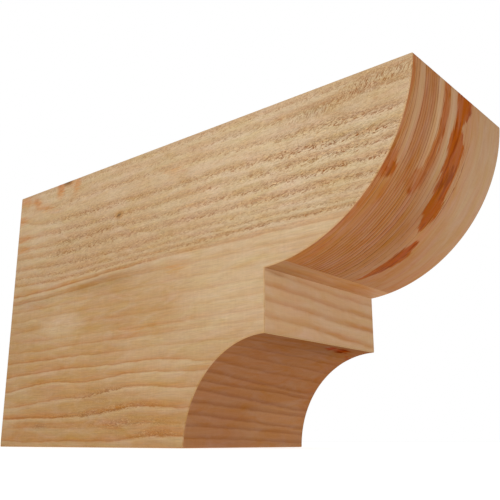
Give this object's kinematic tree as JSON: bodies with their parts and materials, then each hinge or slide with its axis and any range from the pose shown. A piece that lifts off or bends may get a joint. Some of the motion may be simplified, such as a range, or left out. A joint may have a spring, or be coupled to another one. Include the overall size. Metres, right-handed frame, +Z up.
{
  "type": "rafter tail",
  "caption": "Solid sawn timber rafter tail with a rounded nose, a square fillet and a quarter-round cove cut into its free end.",
  "frame": {"origin": "middle of the length and of the width, on the plane of the flat underside", "axes": "+X along the timber from the back that meets the building to the tip of the nose, +Y across the timber, +Z up"},
  "size_m": [0.4571, 0.1524, 0.254],
  "materials": {
    "douglas_fir": "rough-sawn, unfinished"
  },
  "bodies": {
    "root": {"rafter_tail": "douglas_fir"}
  },
  "joints": []
}
